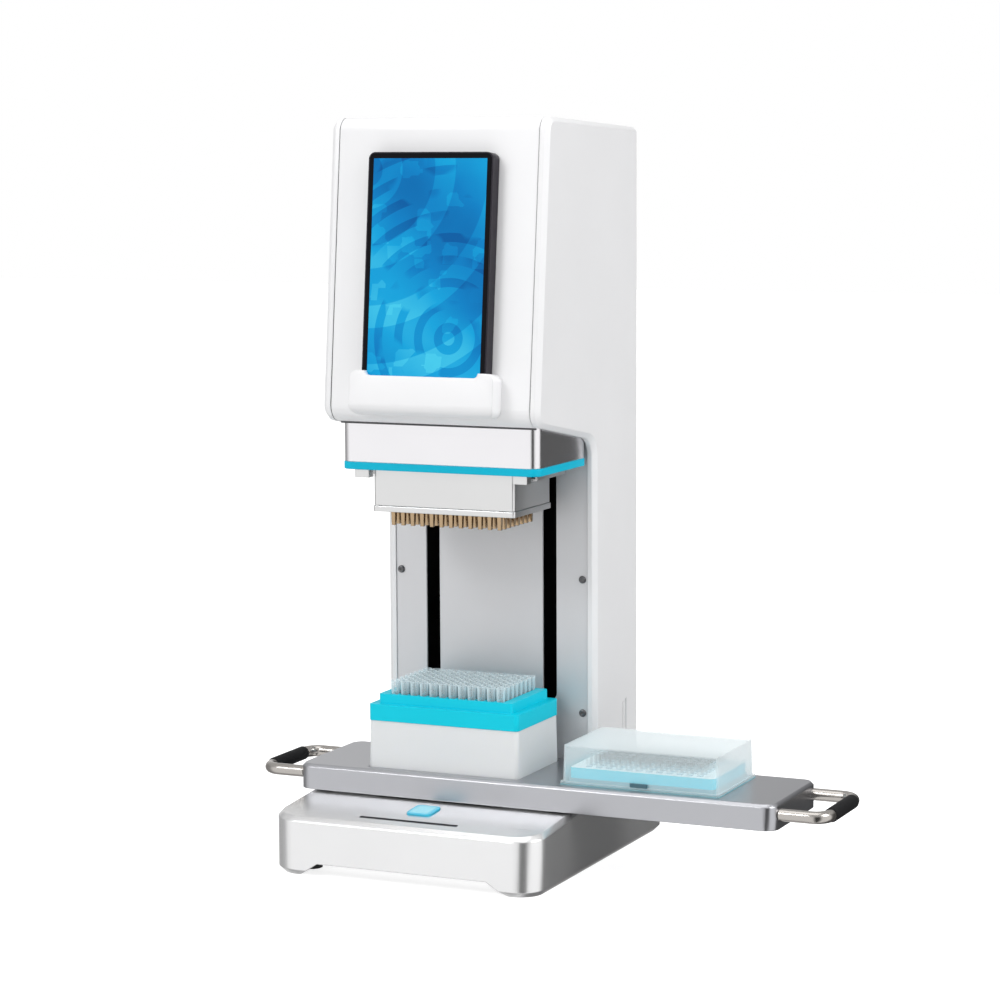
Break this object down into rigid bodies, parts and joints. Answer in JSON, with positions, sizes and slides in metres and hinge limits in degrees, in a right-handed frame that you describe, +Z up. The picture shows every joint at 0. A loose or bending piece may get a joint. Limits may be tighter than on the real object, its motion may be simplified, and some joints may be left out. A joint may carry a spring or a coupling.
{
  "type": "liquid handling workstation",
  "caption": "Bench-top pipetting workstation: a column carries a multichannel head with a tablet in front, over a sliding deck with a tip box and a lidded rack.",
  "frame": {"origin": "on the bench, straight below the centre of the nozzle grid", "axes": "+X to the right of someone facing the screen, +Y towards the column's back, +Z up"},
  "size_m": [0.5252, 0.295, 0.6335],
  "materials": {
    "white_shell": "satin",
    "silver_paint": "satin",
    "cyan_trim": "gloss",
    "cyan_box": "satin",
    "steel": "satin",
    "polished_steel": "polished",
    "aluminium": "satin",
    "bronze": "satin",
    "brass_nozzle": "satin",
    "black_plastic": "matte",
    "dark_paint": "matte",
    "screen_glass": "gloss",
    "clear_plastic": "gloss",
    "dark_window": "gloss",
    "rubber_black": "matte",
    "white_plastic": "satin",
    "tip_plastic": "satin",
    "board_green": "matte"
  },
  "bodies": {
    "stand": {"base_housing": "silver_paint", "base_feet": "rubber_black", "base_bottom_plate": "steel", "status_light": "dark_window", "button_switch": "black_plastic", "side_cover_right": "white_shell", "side_cover_left": "white_shell", "head_front_cover": "white_shell", "head_top_cover": "white_shell", "column_rear_cover": "white_shell", "column_front_panel": "silver_paint", "panel_screws": "steel", "screen_housing": "black_plastic", "screen_glass": "screen_glass", "screen_cradle": "white_shell", "column_spine": "aluminium", "side_frames": "steel", "lift_rails": "polished_steel", "lift_motor": "dark_paint", "lift_brackets": "aluminium", "deck_runners": "steel", "power_inlet": "black_plastic", "rear_fittings": "black_plastic", "control_board": "board_green", "power_supply": "steel"},
    "head": {"lift_carriage": "aluminium", "lift_nut": "bronze", "lift_runners": "steel", "carriage_arms": "aluminium", "head_hood": "aluminium", "hood_trim": "cyan_trim", "head_base_plate": "aluminium", "block_clips": "steel", "channel_block": "aluminium", "nozzles": "brass_nozzle", "drive_frame": "aluminium", "plunger_motor": "dark_paint"},
    "lift_screw": {"lift_screw": "polished_steel"},
    "plunger": {"plunger_plate": "aluminium", "pistons": "steel"},
    "plunger_screw": {"plunger_screw": "polished_steel"},
    "stripper": {"stripper_plate": "aluminium", "stripper_rods": "steel"},
    "deck": {"deck_plate": "aluminium", "deck_rails": "polished_steel", "deck_handles": "polished_steel", "handle_grips": "rubber_black"},
    "tip_box": {"tip_box_base": "white_plastic", "tip_box_collar": "cyan_box", "tip_box_bars": "cyan_box"},
    "loose_tips": {"tips": "tip_plastic"},
    "rack": {"rack_frame": "white_plastic", "rack_band": "cyan_box", "rack_tips": "tip_plastic"},
    "lid": {"rack_lid": "clear_plastic", "lid_latch": "clear_plastic"},
    "start_button": {"start_button": "cyan_trim"},
    "power_rocker": {"power_rocker": "black_plastic"},
    "fan": {"fan_rotor": "black_plastic"}
  },
  "joints": [
    {"name": "head_lift", "type": "slide", "parent": "stand", "child": "head", "axis": [0, 0, 1], "range_m": [-0.142, 0]},
    {"name": "lift_screw_turn", "type": "hinge", "parent": "stand", "child": "lift_screw", "pos_m": [0, 0.1, 0.3], "axis": [0, 0, 1], "range_deg": [-5113, 1]},
    {"name": "plunger_slide", "type": "slide", "parent": "head", "child": "plunger", "axis": [0, 0, 1], "range_m": [0, 0.022]},
    {"name": "plunger_screw_turn", "type": "hinge", "parent": "head", "child": "plunger_screw", "pos_m": [0, 0, 0.42], "axis": [0, 0, 1], "range_deg": [-1, 991]},
    {"name": "stripper_push", "type": "slide", "parent": "head", "child": "stripper", "axis": [0, 0, 1], "range_m": [-0.009, 0], "stiffness_N_per_m": 1200, "springref_m": 0.003},
    {"name": "deck_slide", "type": "slide", "parent": "stand", "child": "deck", "axis": [1, 0, 0], "range_m": [-0.18, 0]},
    {"name": "tip_box_lift", "type": "slide", "parent": "deck", "child": "tip_box", "axis": [0, 0, 1], "range_m": [0, 0.08]},
    {"name": "tips_lift", "type": "slide", "parent": "tip_box", "child": "loose_tips", "axis": [0, 0, 1], "range_m": [0, 0.06]},
    {"name": "rack_lift", "type": "slide", "parent": "deck", "child": "rack", "axis": [0, 0, 1], "range_m": [0, 0.06]},
    {"name": "lid_lift", "type": "slide", "parent": "rack", "child": "lid", "axis": [0, 0, 1], "range_m": [0, 0.06]},
    {"name": "start_button_press", "type": "slide", "parent": "stand", "child": "start_button", "axis": [0, -0.079, 0.9969], "range_m": [-0.0012, 0], "stiffness_N_per_m": 900, "springref_m": 0.0005},
    {"name": "power_rocker_tilt", "type": "hinge", "parent": "stand", "child": "power_rocker", "pos_m": [0.006, 0.153, 0.096], "axis": [1, 0, 0], "range_deg": [-8, 8]},
    {"name": "fan_spin", "type": "hinge", "parent": "stand", "child": "fan", "pos_m": [0, 0.145, 0.5], "axis": [0, 1, 0], "continuous": true}
  ],
  "couplings": [
    {"joint": "lift_screw_turn", "follows": "head_lift", "rad_per_m": 628.32},
    {"joint": "plunger_screw_turn", "follows": "plunger_slide", "rad_per_m": 785.4}
  ]
}
